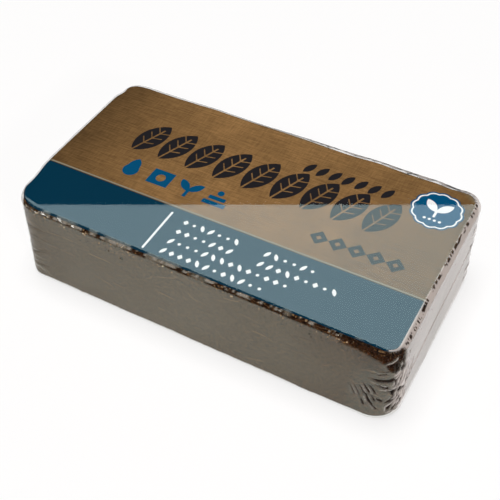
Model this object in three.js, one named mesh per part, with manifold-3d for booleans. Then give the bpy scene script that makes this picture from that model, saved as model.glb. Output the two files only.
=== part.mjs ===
// A pressed coconut coir brick, which swells to loose potting fibre in water: the coir block, the
// printed card on its top face, and the clear shrink film around both.
// Millimetres, +Z up. The origin is the middle of the underside, the long sides run along X, the
// front long side is -Y and the right end is +X.

import * as THREE from 'three';
import { mergeVertices } from 'three/addons/utils/BufferGeometryUtils.js';
import Module from 'manifold-3d';

// Driving dimensions
const LENGTH = 200;
const WIDTH = 105;
const HEIGHT = 50;

// Upright corners, in order round the brick from the back right, as radii at the top and the foot
const CORNERS = [
  { x: 1, y: 1, from: 0, top: 11, foot: 12 },
  { x: -1, y: 1, from: 90, top: 13, foot: 13 },
  { x: -1, y: -1, from: 180, top: 19, foot: 9 },
  { x: 1, y: -1, from: 270, top: 7.5, foot: 13.5 },
];

// Film: the wall is far thicker than real film, so that it is a solid
const FILM_WALL = 0.4;
const FILM_EDGE = 1.6;
const GAP = 0.3;

// Card: its edge lies a little inside the film's
const CARD_INSET = 2.4;
const CARD_THICKNESS = 0.5;

// Heat seal: a bead of melted film at mid-height, on every side but the folded front
const SEAL_HEIGHT = 24;
const SEAL_STAND = 0.4;
const SEAL_HALF_WIDTH = 0.8;

// Gathers: puckers of spare film that spread from a pinch low on each upright corner
const PINCH_HEIGHT = 14;
const GATHER_COUNT = 11;
const GATHER_REACH = 32;
const GATHER_STAND = 0.8;

// Air holes: pricked in the film under the brick, so that it shrinks down without a trapped bubble
const AIR_HOLE_RADIUS = 1.5;
const AIR_HOLES_X = [-70, 70];

// Block: crumbled level edges and a lumpy pressed wall
const BLOCK_EDGE = 2.5;
const CRUMB_DEPTH = 1.3;
const LUMP_DEPTH = 0.35;

const FILM_INSET = SEAL_STAND;
const CAVITY_INSET = FILM_INSET + FILM_WALL;
const BLOCK_INSET = CAVITY_INSET + GAP;
const BLOCK_BOTTOM = FILM_WALL + GAP;
const CARD_TOP = HEIGHT - FILM_WALL - GAP;
const CARD_BOTTOM = CARD_TOP - CARD_THICKNESS;
const BLOCK_TOP = CARD_BOTTOM - GAP;

const wasm = await Module();
wasm.setup();

// A smooth step from 0 to 1 as value goes from low to high
const smooth = (value, low, high) => THREE.MathUtils.smoothstep(value, low, high);

// A repeatable number from 0 to 1 for each pair of whole numbers
function scatter(i, j) {
  const wave = Math.sin(i * 12.9898 + j * 78.233) * 43758.5453;
  return wave - Math.floor(wave);
}

// Stations round the brick at one height: arcs at the corners and straight runs between them.
// Each holds its point, its outward direction, the corner that it is nearest and the distance
// along the wall from the middle of that corner.
function stations(height, inset, arcSteps, longSteps, shortSteps) {
  const ring = [];
  const rise = THREE.MathUtils.clamp(height / HEIGHT, 0, 1);
  const arcs = CORNERS.map((corner) => {
    const radius = THREE.MathUtils.lerp(corner.foot, corner.top, rise);
    const centre = new THREE.Vector2(
      corner.x * (LENGTH / 2 - radius),
      corner.y * (WIDTH / 2 - radius),
    );
    return { radius, centre, from: THREE.MathUtils.degToRad(corner.from) };
  });
  const station = (arc, turn, corner) => {
    const out = new THREE.Vector2(Math.cos(arc.from + turn), Math.sin(arc.from + turn));
    const point = out.clone().multiplyScalar(arc.radius - inset).add(arc.centre);
    return { point, out, corner, along: (turn - Math.PI / 4) * arc.radius };
  };
  arcs.forEach((arc, corner) => {
    for (let i = 0; i <= arcSteps; i += 1) {
      ring.push(station(arc, (Math.PI / 2) * (i / arcSteps), corner));
    }
    const next = (corner + 1) % arcs.length;
    const start = ring[ring.length - 1];
    const end = station(arcs[next], 0, next);
    const run = start.point.distanceTo(end.point);
    const steps = corner % 2 === 0 ? longSteps : shortSteps;
    for (let i = 1; i < steps; i += 1) {
      const part = i / steps;
      const near = part < 0.5 ? start : end;
      ring.push({
        point: start.point.clone().lerp(end.point, part),
        out: start.out,
        corner: near.corner,
        along: near === start ? start.along + run * part : end.along - run * (1 - part),
      });
    }
  });
  return ring;
}

// Levels up a block with rounded level edges, as heights and insets, lowest first
function levels(bottom, top, edge, edgeSteps, wallHeights) {
  const quarter = (i) => (Math.PI / 2) * (i / edgeSteps);
  const list = [];
  for (let i = 0; i <= edgeSteps; i += 1) {
    const inset = edge * (1 - Math.sin(quarter(i)));
    list.push({ inset, height: bottom + edge * (1 - Math.cos(quarter(i))), onEdge: true });
  }
  wallHeights.forEach((height) => list.push({ inset: 0, height, onEdge: false }));
  for (let i = edgeSteps; i >= 0; i -= 1) {
    const inset = edge * (1 - Math.sin(quarter(i)));
    list.push({ inset, height: top - edge * (1 - Math.cos(quarter(i))), onEdge: true });
  }
  return list;
}

// A closed solid from rings of points, lowest first: walls between rings and a flat cap on each end
function solidOfRings(rings) {
  const count = rings[0].length;
  const positions = rings.flat().flatMap((point) => point.toArray());
  const index = [];
  for (let level = 0; level + 1 < rings.length; level += 1) {
    for (let i = 0; i < count; i += 1) {
      const next = (i + 1) % count;
      const low = level * count;
      const high = low + count;
      index.push(low + i, low + next, high + next, low + i, high + next, high + i);
    }
  }
  const cap = (ring, first, facesUp) => {
    const outline = ring.map((point) => new THREE.Vector2(point.x, point.y));
    THREE.ShapeUtils.triangulateShape(outline, []).forEach(([a, b, c]) => {
      index.push(...(facesUp ? [first + a, first + b, first + c] : [first + a, first + c, first + b]));
    });
  };
  cap(rings[0], 0, false);
  cap(rings[rings.length - 1], (rings.length - 1) * count, true);
  const geometry = new THREE.BufferGeometry();
  geometry.setAttribute('position', new THREE.Float32BufferAttribute(positions, 3));
  geometry.setIndex(index);
  return geometry;
}

// Rings of a rounded block. relief gives how far each point stands out from the plain wall.
function roundedBlock({ inset, bottom, top, edge, edgeSteps, wallHeights, steps, relief }) {
  const rings = levels(bottom, top, edge, edgeSteps, wallHeights).map((level, row) => {
    const ring = stations(level.height, inset + level.inset, ...steps);
    return ring.map((station, column) => {
      const stand = relief(station, level, row, column);
      const point = station.point.clone().addScaledVector(station.out, stand);
      return new THREE.Vector3(point.x, point.y, level.height);
    });
  });
  return solidOfRings(rings);
}

function toManifold(geometry) {
  const bare = geometry.clone();
  bare.deleteAttribute('normal');
  bare.deleteAttribute('uv');
  const merged = mergeVertices(bare);
  return new wasm.Manifold(new wasm.Mesh({
    numProp: 3,
    vertProperties: new Float32Array(merged.attributes.position.array),
    triVerts: new Uint32Array(merged.index.array),
  }));
}

function fromManifold(solid) {
  const mesh = solid.getMesh();
  const geometry = new THREE.BufferGeometry();
  geometry.setAttribute('position', new THREE.BufferAttribute(mesh.vertProperties, 3));
  geometry.setIndex(new THREE.BufferAttribute(mesh.triVerts, 1));
  return geometry;
}

// How far a station could stand out before it left the outer size of the brick
function roomOutside({ point, out }) {
  const alongX = (LENGTH / 2 - Math.abs(point.x)) / Math.max(Math.abs(out.x), 1e-6);
  const alongY = (WIDTH / 2 - Math.abs(point.y)) / Math.max(Math.abs(out.y), 1e-6);
  return Math.min(alongX, alongY);
}

// How far the film stands out: the seal's bead, and gathers that fan out from each pinch
function filmRelief(station, level) {
  if (level.inset > 0) {
    return 0;
  }
  const folded = station.out.y < -0.5;
  const bead = level.height === SEAL_HEIGHT && !folded ? SEAL_STAND : 0;
  const rise = level.height - PINCH_HEIGHT;
  const distance = Math.hypot(station.along, rise);
  const fan = 0.5 + 0.5 * Math.cos(GATHER_COUNT * Math.atan2(rise, station.along));
  const fade = smooth(distance, 1, 5) * (1 - smooth(distance, 8, GATHER_REACH));
  return Math.min(Math.max(bead, GATHER_STAND * fan * fade), roomOutside(station));
}

// How far the pressed block falls short of a plain wall: lumps on the walls, crumbs lost at the edges
function blockRelief(station, level, row, column) {
  const depth = level.onEdge ? CRUMB_DEPTH : LUMP_DEPTH;
  return -depth * scatter(column, row) ** 2;
}

function makeBlock() {
  return roundedBlock({
    inset: BLOCK_INSET,
    bottom: BLOCK_BOTTOM,
    top: BLOCK_TOP,
    edge: BLOCK_EDGE,
    edgeSteps: 2,
    wallHeights: [8.5, 13.5, 19, 24.5, 30, 35.5, 41],
    steps: [5, 30, 15],
    relief: blockRelief,
  });
}

function makeCard() {
  const outline = stations(HEIGHT, CARD_INSET, 8, 1, 1).map((station) => station.point);
  const geometry = new THREE.ExtrudeGeometry(new THREE.Shape(outline), {
    depth: CARD_THICKNESS,
    bevelEnabled: false,
  });
  return geometry.translate(0, 0, CARD_BOTTOM);
}

function makeFilm() {
  const outer = roundedBlock({
    inset: FILM_INSET,
    bottom: 0,
    top: HEIGHT,
    edge: FILM_EDGE,
    edgeSteps: 3,
    wallHeights: [
      6, 10, PINCH_HEIGHT, 18.5,
      SEAL_HEIGHT - SEAL_HALF_WIDTH, SEAL_HEIGHT, SEAL_HEIGHT + SEAL_HALF_WIDTH,
      29, 34, 39, 44,
    ],
    steps: [14, 16, 10],
    relief: filmRelief,
  });
  const cavity = roundedBlock({
    inset: CAVITY_INSET,
    bottom: FILM_WALL,
    top: HEIGHT - FILM_WALL,
    edge: FILM_EDGE - FILM_WALL,
    edgeSteps: 3,
    wallHeights: [],
    steps: [10, 1, 1],
    relief: () => 0,
  });
  let film = toManifold(outer).subtract(toManifold(cavity));
  AIR_HOLES_X.forEach((x) => {
    const hole = new THREE.CylinderGeometry(AIR_HOLE_RADIUS, AIR_HOLE_RADIUS, 4 * FILM_WALL, 12);
    hole.rotateX(Math.PI / 2).translate(x, 0, 0);
    film = film.subtract(toManifold(hole));
  });
  return fromManifold(film);
}

function named(name, geometry, material) {
  const mesh = new THREE.Mesh(geometry, material);
  mesh.name = name;
  return mesh;
}

const coir = new THREE.MeshStandardMaterial({ color: 0x5a3b22, roughness: 0.95, metalness: 0 });
const kraftCard = new THREE.MeshStandardMaterial({ color: 0xa37a4d, roughness: 0.8, metalness: 0 });
const clearFilm = new THREE.MeshStandardMaterial({
  color: 0xe6e4e6,
  roughness: 0.08,
  metalness: 0,
  transparent: true,
  opacity: 0.3,
});

const brick = new THREE.Group();
brick.add(named('coir_block', makeBlock(), coir));
brick.add(named('label_card', makeCard(), kraftCard));
brick.add(named('shrink_film', makeFilm(), clearFilm));

export default brick;
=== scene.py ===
"""A pressed coconut coir brick with its printed card, in clear shrink film, on a pale studio floor.

Sizes are in millimetres inside the functions that work out a surface, and turn to metres when the
mesh is made. X runs along the brick, the front long side is -Y, the right end is +X, +Z is up.
Places, ranges and strengths inside a formula are set against the photograph.
"""

import math
from functools import partial

import bpy
import numpy as np
from bpy.props import FloatProperty, FloatVectorProperty, IntProperty, PointerProperty
from mathutils import Matrix, Vector


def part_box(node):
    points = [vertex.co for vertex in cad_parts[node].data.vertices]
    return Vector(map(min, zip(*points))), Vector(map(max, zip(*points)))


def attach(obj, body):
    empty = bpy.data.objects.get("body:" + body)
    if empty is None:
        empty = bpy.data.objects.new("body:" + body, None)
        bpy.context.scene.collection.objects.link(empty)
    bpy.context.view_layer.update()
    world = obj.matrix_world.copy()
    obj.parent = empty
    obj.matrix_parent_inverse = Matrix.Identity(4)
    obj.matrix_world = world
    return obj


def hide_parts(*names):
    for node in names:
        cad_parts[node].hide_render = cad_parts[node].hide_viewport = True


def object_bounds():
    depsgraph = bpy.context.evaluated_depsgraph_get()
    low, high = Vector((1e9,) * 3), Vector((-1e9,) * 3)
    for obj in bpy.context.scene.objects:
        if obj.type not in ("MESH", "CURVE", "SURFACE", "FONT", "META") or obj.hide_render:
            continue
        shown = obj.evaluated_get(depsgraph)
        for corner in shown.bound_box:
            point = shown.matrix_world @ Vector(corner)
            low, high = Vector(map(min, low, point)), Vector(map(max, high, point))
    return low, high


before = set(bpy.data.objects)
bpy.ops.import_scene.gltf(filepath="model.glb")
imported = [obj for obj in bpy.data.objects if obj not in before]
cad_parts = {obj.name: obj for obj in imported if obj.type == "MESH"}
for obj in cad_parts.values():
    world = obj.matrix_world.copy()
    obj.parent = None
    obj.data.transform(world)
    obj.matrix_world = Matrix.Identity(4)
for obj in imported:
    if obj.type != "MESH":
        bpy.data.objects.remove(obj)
CAD_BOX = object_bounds()

bl_info = {
    "name": "Coconut coir brick",
    "version": (1, 0, 0),
    "blender": (4, 5, 0),
    "location": "3D View > Sidebar > Coir Brick",
    "description": "Makes a pressed coir brick with a card label in shrink film",
    "category": "Add Mesh",
}

MM = 0.001
LENGTH, WIDTH, HEIGHT = ((CAD_BOX[1] - CAD_BOX[0]) / MM)[:]
HALF_PLAN = np.array([LENGTH, WIDTH]) / 2
CARD_LOW, CARD_HIGH = (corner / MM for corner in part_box("label_card"))
BLOCK_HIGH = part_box("coir_block")[1] / MM

# Upright corners from the back right, anticlockwise seen from above: the way each lies from the
# middle, the direction that its arc starts in, and its radius at the top and at the foot
CORNER_WAY = np.array([(1, 1), (-1, 1), (-1, -1), (1, -1)])
CORNER_START = np.radians([0, 90, 180, 270])
CORNER_TOP = np.array([11, 13, 19, 7.5])
CORNER_FOOT = np.array([12, 13, 9, 13.5])
BACK_RIGHT, BACK_LEFT, FRONT_LEFT, FRONT_RIGHT = range(4)
FAR_AWAY = 1000


def linear(hex_colour):
    """An sRGB hex colour as the linear colour that a shader takes, with full alpha."""
    parts = [int(hex_colour[i : i + 2], 16) / 255 for i in (1, 3, 5)]
    return *(p / 12.92 if p <= 0.04045 else ((p + 0.055) / 1.055) ** 2.4 for p in parts), 1


def smooth(value, low, high):
    """0 below low, 1 above high, and an even S between them."""
    part = np.clip((value - low) / (high - low), 0, 1)
    return part * part * (3 - 2 * part)


def hill(value, start, top, top_end, end):
    """0 before start, 1 from top to top_end and 0 after end, with an even S on both slopes."""
    return smooth(value, start, top) * (1 - smooth(value, top_end, end))


def bell(distance, spread):
    """1 at no distance, about a third at the spread, and 0 far away."""
    return np.exp(-((distance / spread) ** 2))


def unit(vectors):
    """Vectors scaled to a length of 1."""
    return vectors / np.maximum(np.linalg.norm(vectors, axis=-1, keepdims=True), 1e-9)


# Random relief


def lattice_value(key, seed):
    """A repeatable number from -1 to 1 for each row of whole numbers, by mixing their bits."""
    mixed = (key * np.array([73856093, 19349663, 83492791])).sum(-1) + seed * 2654435761
    for shift in (13, 17, 11):
        mixed = ((mixed ^ (mixed >> shift)) * 1274126177) & 0xFFFFFFFF
    return mixed / 0x7FFFFFFF - 1


def relief(points, spacing, seed):
    """Smooth random height from -1 to 1: lattice values that far apart, eased between neighbours."""
    cell = np.asarray(points) / spacing
    base = np.floor(cell).astype(np.int64)
    part = smooth(cell - base, 0, 1)
    total = 0
    for corner in range(8):
        step = np.array([corner & 1, corner >> 1 & 1, corner >> 2 & 1])
        share = np.where(step == 1, part, 1 - part).prod(-1)
        total = total + share * lattice_value(base + step, seed)
    return total


def rough_relief(points, spacing, octaves, seed):
    """Random height with finer and finer detail: each octave is half the size and half the height."""
    return sum(relief(points, spacing / 2**i, seed + i) / 2**i for i in range(octaves))


def flat_relief(u, v, spacing, seed):
    """Smooth random height that varies with two measures alone."""
    return relief(np.stack(np.broadcast_arrays(u, v, 0.0), -1), spacing, seed)


# Shape of the brick


def graded(length, near, spacings):
    """Shares along a side. spacings are those of its first end, its middle and its last end, and
    near is how far each end's spacing reaches."""
    first = np.arange(0, near, spacings[0])
    middle = np.arange(near, length - near, spacings[1])
    last = length - np.arange(near, 0, -spacings[2])
    return np.concatenate([first, middle, last])[1:] / length


def stations(arc_steps, near, spacings):
    """The stations of one ring, as arrays: the corner, how far through its arc from 0 to 1, and
    how far along the side after it from 0 to 1. A side's stations stand at the end of the arc."""
    corner, turn, part = [], [], []
    for k in range(4):
        arc = np.linspace(0, 1, arc_steps[k] + 1)
        along = graded(side_lengths(k), near, spacings[k])
        corner += [np.full(len(arc) + len(along), k)]
        turn += [arc, np.ones(len(along))]
        part += [np.zeros(len(arc)), along]
    return np.concatenate(corner), np.concatenate(turn), np.concatenate(part)


def arc_points(corner, turn, inset, height):
    """Points on the corner arcs, drawn in by inset from the outer size, and their way out."""
    radius = CORNER_FOOT[corner] + (CORNER_TOP - CORNER_FOOT)[corner] * height / HEIGHT
    angle = CORNER_START[corner] + turn * math.pi / 2
    out = np.stack([np.cos(angle), np.sin(angle)], -1)
    centre = CORNER_WAY[corner] * (HALF_PLAN - radius[..., None])
    return centre + out * (radius - inset)[..., None], out


def side_lengths(corner):
    """Length of the straight side after each corner, at the foot."""
    return np.where(corner % 2 == 0, LENGTH, WIDTH) - CORNER_FOOT[corner] - CORNER_FOOT[(corner + 1) % 4]


def ring_points(ring, inset, height):
    """Points for rows of insets and heights at the stations of a ring, as rows x stations x 3,
    and their level way out. Sides run straight from one arc's end to the next arc's start."""
    corner, turn, part = ring
    shape = (len(height), len(corner))
    inset, height = np.broadcast_to(inset, shape), np.broadcast_to(height, shape)
    start, out = arc_points(corner, turn, inset, height)
    end, _ = arc_points((corner + 1) % 4, turn * 0, inset, height)
    flat = start + (end - start) * part[:, None]
    out = np.broadcast_to(out, flat.shape)
    return np.concatenate([flat, height[..., None]], -1), np.concatenate([out, out[..., :1] * 0], -1)


def along_from(ring, k):
    """Distance along the wall from the middle of corner k, less than 0 before it, and far away at
    stations that aren't on its arc or on the sides next to it."""
    corner, turn, part = ring
    radius = CORNER_FOOT[k]
    side = side_lengths(corner)
    after = radius * math.pi / 2 * (turn - 0.5) + part * side
    before = -radius * math.pi / 4 - (1 - part) * side
    is_before = (corner == (k - 1) % 4) & (part > 0)
    return np.where(corner == k, after, np.where(is_before, before, FAR_AWAY))


def side_shares(out):
    """How far a wall faces front, right, back and left, as shares that add to 1."""
    ways = np.stack([-out[..., 1], out[..., 0], out[..., 1], -out[..., 0]], -1)
    return np.clip(ways, 0, 1) ** 2


def room_outside(points, out):
    """How far each point can move out before it leaves the outer size of the brick."""
    gap = HALF_PLAN - np.abs(points[..., :2])
    return (gap / np.maximum(np.abs(out[..., :2]), 1e-6)).min(-1)


def soft_limit(value, inward, outward):
    """Keeps a height between -inward and outward, and rounds it off as it nears either."""
    return np.where(value > 0, outward * np.tanh(value / outward), inward * np.tanh(value / inward))


def loose_corner(along, up):
    """1 where the film hangs loose over the crumbled front right corner, 0 elsewhere. The loose
    part is a wedge under the card's edge, whose lower side falls towards the corner."""
    lobes = flat_relief(along, 0, 5, 68)
    low = 45.3 - 2.8 * smooth(along, -26, -9) - 6.5 * smooth(along, -8, 0) + 1.1 * lobes
    return smooth(up, low - 0.7, low + 0.7) * hill(along, -31, -27, 7, 12)


# Where the outline bulges or falls short near its top: the place in plan, the spread and the
# height of each bump
OUTLINE_BUMPS = (
    (-99, -34, 8.5, -1.9),
    (-93, -48, 4, 0.4),
    (-98, 42, 3, -1.3),
    (-95, 50, 4, 0.9),
    (-72, 52, 14, -0.3),
    (-46, 52, 6, 0.3),
    (-20, 52, 8, -0.25),
    (10, 52, 12, 0.25),
    (46, 52, 9, 0.8),
    (86, 51, 6, -1.1),
)


def outline_bumps(points):
    """How far each point stands out on the outline's bumps, which fade down the wall."""
    x, y, z = np.moveaxis(points, -1, 0)
    bumps = 0
    for across, along, spread, height in OUTLINE_BUMPS:
        bumps = bumps + height * bell(np.hypot(x - across, y - along), spread)
    return bumps * smooth(z, 22, 44)


# Meshes


def add_object(name, data):
    """An object of the scene that holds a mesh, a light or a camera."""
    made = bpy.data.objects.new(name, data)
    bpy.context.scene.collection.objects.link(made)
    return made


def add_piece(name, points, faces, material, values=None):
    """A smooth shaded mesh object from points in millimetres, with its object at the origin.
    values are numbers on its points, which its material reads by name."""
    mesh = bpy.data.meshes.new(name)
    mesh.from_pydata((np.asarray(points) * MM).tolist(), [], faces)
    mesh.materials.append(material)
    mesh.polygons.foreach_set("use_smooth", np.full(len(mesh.polygons), True))
    for key, value in (values or {}).items():
        mesh.attributes.new(key, "FLOAT", "POINT").data.foreach_set("value", value.astype(np.float32))
    mesh.update()
    return add_object(name, mesh)


def closed_rings(rows, count):
    """Faces of rows x count points, lowest row first, and one more point under the first row and
    one over the last that close the ends: quads between rows and fans at the ends."""
    here = np.arange(count)
    ahead = (here + 1) % count
    low = (np.arange(rows - 1) * count)[:, None]
    quads = np.stack([low + here, low + ahead, low + count + ahead, low + count + here], -1)
    last = (rows - 1) * count
    under = np.stack([ahead, here, np.full(count, rows * count)], -1)
    over = np.stack([last + here, last + ahead, np.full(count, rows * count + 1)], -1)
    return [*quads.reshape(-1, 4).tolist(), *under.tolist(), *over.tolist()]


def add_closed_piece(name, points, material, values):
    """A closed mesh from rows x stations points, ended by a point in the middle of each end row.
    values have a number for each of those points."""
    closed = np.concatenate([points.reshape(-1, 3), [points[0].mean(0), points[-1].mean(0)]])
    flat = {
        key: np.concatenate([value.ravel(), [value[0].mean(), value[-1].mean()]])
        for key, value in values.items()
    }
    return add_piece(name, closed, closed_rings(*points.shape[:2]), material, flat)


def flat_ends(points, shares):
    """Adds rows that shrink level towards the middle under the first row and over the last."""
    shares = np.asarray(shares)[:, None, None]
    shrink = np.concatenate([shares, shares, shares * 0 + 1], -1)
    return np.concatenate([points[:1] * shrink, points, (points[-1:] * shrink)[::-1]])


# Shader trees


def add_node(tree, kind, inputs=None, **settings):
    """Adds a shader node and sets its settings. An input takes a value, another node's output, or
    a node, which stands for the first of its outputs that is on."""
    made = tree.nodes.new("ShaderNode" + kind)
    for name, value in settings.items():
        setattr(made, name, value)
    for key, value in (inputs or {}).items():
        if isinstance(value, bpy.types.Node):
            value = next(socket for socket in value.outputs if socket.enabled)
        if isinstance(value, bpy.types.NodeSocket):
            tree.links.new(value, made.inputs[key])
        else:
            made.inputs[key].default_value = value
    return made


def new_material(name):
    """An empty material, and a function that adds a node to it."""
    material = bpy.data.materials.new(name)
    material.use_nodes = True
    material.node_tree.nodes.clear()
    return material, partial(add_node, material.node_tree)


def pressed_coir(settings):
    """Coir pith pressed dry: crumbly, matt and dark brown, with paler strands and darker pits. It
    is darker and redder where the edge has crumbled."""
    material, add = new_material("pressed coir pith")
    place = add("TexCoord").outputs["Object"]
    crumb = add("TexNoise", {"Vector": place, "Scale": 1 / settings.crumb, "Detail": 6, "Roughness": 0.7})
    turned = add("Mapping", {"Vector": place, "Scale": (0.18, 1, 1.3), "Rotation": (0.2, 0.4, 0.3)})
    strands = add(
        "TexNoise", {"Vector": turned, "Scale": 1 / settings.strand, "Detail": 3, "Distortion": 1.2}
    )
    tones = []
    for low, high, dark, light in (
        (0.36, 0.62, settings.dark, settings.mid),
        (0.42, 0.66, settings.pit, settings.rust),
    ):
        tone = add("ValToRGB", {"Fac": crumb})
        stops = tone.color_ramp.elements
        stops[0].position, stops[0].color = low, dark
        stops[1].position, stops[1].color = high, light
        tones.append(tone)
    worn = add("Attribute", attribute_name="worn").outputs["Fac"]
    body = add("Mix", {"Factor": worn, "A": tones[0], "B": tones[1]}, data_type="RGBA")
    pale = add("MapRange", {"Value": strands, "From Min": 0.6, "From Max": 0.74, "To Max": 0.7})
    colour = add("Mix", {"Factor": pale, "A": body, "B": settings.pale}, data_type="RGBA")
    height = add("Math", {0: crumb, 1: strands}, operation="ADD")
    bump = add("Bump", {"Height": height, "Distance": 0.5 * MM, "Strength": 0.9})
    finish = {"Base Color": colour, "Roughness": 0.92, "Specular IOR Level": 0.1, "Normal": bump}
    add("OutputMaterial", {"Surface": add("BsdfPrincipled", finish)})
    return material


def loose_coir(settings):
    """Loose crumbs and fibres of coir: matt, each with its own tone from pith brown to husk gold."""
    material, add = new_material("loose coir fibre")
    tint = add("Attribute", attribute_name="tint").outputs["Fac"]
    tone = add("ValToRGB", {"Fac": tint})
    stops = tone.color_ramp.elements
    stops[0].color = settings.pit
    stops[1].color = settings.cream
    stops.new(0.45).color = settings.rust
    stops.new(0.8).color = settings.pale
    finish = {"Base Color": tone, "Roughness": 0.8, "Specular IOR Level": 0.2}
    add("OutputMaterial", {"Surface": add("BsdfPrincipled", finish)})
    return material


# How light the card is along it: the distance along X from its middle, and the share of its tone
KRAFT_TONES = (
    (-99, 0.45),
    (-88, 0.52),
    (-72, 0.74),
    (-50, 0.94),
    (-30, 1.0),
    (45, 1.0),
    (60, 0.86),
    (80, 0.76),
    (95, 0.66),
)

# How far an ink fades to each side of its edge, in millimetres
INK_BLUR = 0.12


def printed_kraft(settings):
    """Kraft card, offset printed: matt brown with lengthwise fibres, and flat inks that let a
    little of the fibre show through. It is darker towards both ends. Real fibres are
    too fine to show in the render, so these are drawn coarser."""
    material, add = new_material("printed kraft card")
    place = add("TexCoord").outputs["Object"]
    fibres = []
    for stretch, detail, roughness in (((0.07, 1, 1), 3, 0.7), ((1, 0.12, 1), 2, 0.5)):
        way = add("Mapping", {"Vector": place, "Scale": stretch})
        grain = {"Scale": 1 / settings.fibre, "Detail": detail, "Roughness": roughness}
        fibres.append(add("TexNoise", {"Vector": way, **grain}))
    weave = add("Mix", {"Factor": 0.3, "A": fibres[0], "B": fibres[1]})
    shade = add("MapRange", {"Value": weave, "From Min": 0.38, "From Max": 0.62})
    paper = add("Mix", {"Factor": shade, "A": settings.kraft_dark, "B": settings.kraft}, data_type="RGBA")
    cloud = add("TexNoise", {"Vector": place, "Scale": 1 / settings.cloud, "Detail": 4})
    patches = add(
        "MapRange", {"Value": cloud, "From Min": 0.35, "From Max": 0.65, "To Min": 0.86, "To Max": 1.1}
    )
    along = add("SeparateXYZ", {"Vector": place}).outputs["X"]
    share = add("MapRange", {"Value": along, "From Min": -LENGTH / 2 * MM, "From Max": LENGTH / 2 * MM})
    # Tone along the card, darker towards both ends
    end_tones = add("ValToRGB", {"Fac": share})
    stops = end_tones.color_ramp.elements
    stops.remove(stops[1])
    for at, tone in KRAFT_TONES:
        stops.new(0.5 + at / LENGTH).color = (tone, tone, tone, 1)
    stops.remove(stops[0])
    toned = add("Math", {0: patches, 1: end_tones}, operation="MULTIPLY")
    colour = add("VectorMath", {0: paper, "Scale": toned}, operation="SCALE")
    for ink, tint in (
        ("pale_line", settings.pale_line),
        ("band_ink", settings.blue),
        ("picture_ink", settings.bright_blue),
        ("charcoal_ink", settings.charcoal),
        ("white_ink", settings.white),
    ):
        distance = add("Attribute", attribute_name=ink).outputs["Fac"]
        cover = add(
            "MapRange", {"Value": distance, "From Min": INK_BLUR, "From Max": -INK_BLUR, "To Max": 0.995}
        )
        colour = add("Mix", {"Factor": cover, "A": colour, "B": tint}, data_type="RGBA")
    bump = add("Bump", {"Height": weave, "Distance": 0.06 * MM, "Strength": 0.5})
    finish = {"Base Color": colour, "Roughness": 0.9, "Specular IOR Level": 0.03, "Normal": bump}
    add("OutputMaterial", {"Surface": add("BsdfPrincipled", finish)})
    return material


def shrink_film(settings):
    """Blown polyolefin film, heat shrunk: clear and glossy, a stronger mirror the more it is seen
    edge on. It is milky where it has shrunk hard onto the walls, olive where it is thin and white
    where it has gathered, and clear on the card. Some of its milk is painted sheen, on the right end,
    on ridges and along the front turn. Where it carries painted shade it hardly mirrors and its
    scatter is darkened, so it looks dark in creases, along its turn and over the loose corner."""
    material, add = new_material("clear shrink film")
    facing = add("LayerWeight", {"Blend": 0.5}).outputs["Facing"]
    steep = add("Math", {0: facing, 1: 7}, operation="POWER")
    mirror = add("MapRange", {"Value": steep, "To Min": settings.mirror})
    # Painted shade: where this is high, the film's mirror is cut and its scatter darkened
    cling_shade = add("Attribute", attribute_name="cling_shade").outputs["Fac"]
    gloss_unshaded = add("MapRange", {"Value": cling_shade, "To Min": 1, "To Max": 0.04})
    gloss_share = add("Math", {0: mirror, 1: gloss_unshaded}, operation="MULTIPLY")
    milk_and_sheen = add("Attribute", attribute_name="milk_and_sheen").outputs["Fac"]
    haze_share = add("MapRange", {"Value": milk_and_sheen, "To Max": settings.haze})
    thick = add("MapRange", {"Value": milk_and_sheen, "From Max": 0.5})
    milks = {"A": settings.thin_milk, "B": settings.thick_milk}
    tone = add("Mix", {"Factor": thick, **milks}, data_type="RGBA")
    # Painted shade on the scatter
    lit = add("MapRange", {"Value": cling_shade, "To Min": 1, "To Max": 0.02})
    haze = add("BsdfDiffuse", {"Color": add("VectorMath", {0: tone, "Scale": lit}, operation="SCALE")})
    body = add("MixShader", {"Fac": haze_share, 1: add("BsdfTransparent"), 2: haze})
    gloss = add("BsdfGlossy", {"Color": (1, 1, 1, 1), "Roughness": settings.roughness})
    add("OutputMaterial", {"Surface": add("MixShader", {"Fac": gloss_share, 1: body, 2: gloss})})
    return material


def stage_material(name, colour, glow, glow_colour=(1, 1, 1, 1)):
    """A plain matt surface that can also give off light."""
    material, add = new_material(name)
    matt = {"Base Color": colour, "Roughness": 1, "Specular IOR Level": 0}
    light = {"Emission Color": glow_colour, "Emission Strength": glow}
    add("OutputMaterial", {"Surface": add("BsdfPrincipled", {**matt, **light})})
    return material


# Settings


def colour_property(name, description, hex_colour):
    """A colour that the user can change, from its sRGB hex value."""
    colour = linear(hex_colour)
    return FloatVectorProperty(
        name=name, description=description, subtype="COLOR", size=4, min=0, max=1, default=colour
    )


def length_property(name, description, millimetres):
    """A length that the user can change, from its value in millimetres."""
    return FloatProperty(name=name, description=description, unit="LENGTH", default=millimetres * MM)


def angle_property(name, description, degrees):
    """An angle that the user can change, from its value in degrees."""
    return FloatProperty(name=name, description=description, subtype="ANGLE", default=math.radians(degrees))


def power_property(name, description, watts):
    """The power of a light that the user can change, in watts."""
    return FloatProperty(name=name, description=description, unit="POWER", default=watts)


def share_property(name, description, share):
    """A share from 0 to 1 that the user can change."""
    return FloatProperty(name=name, description=description, subtype="FACTOR", min=0, max=1, default=share)


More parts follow.
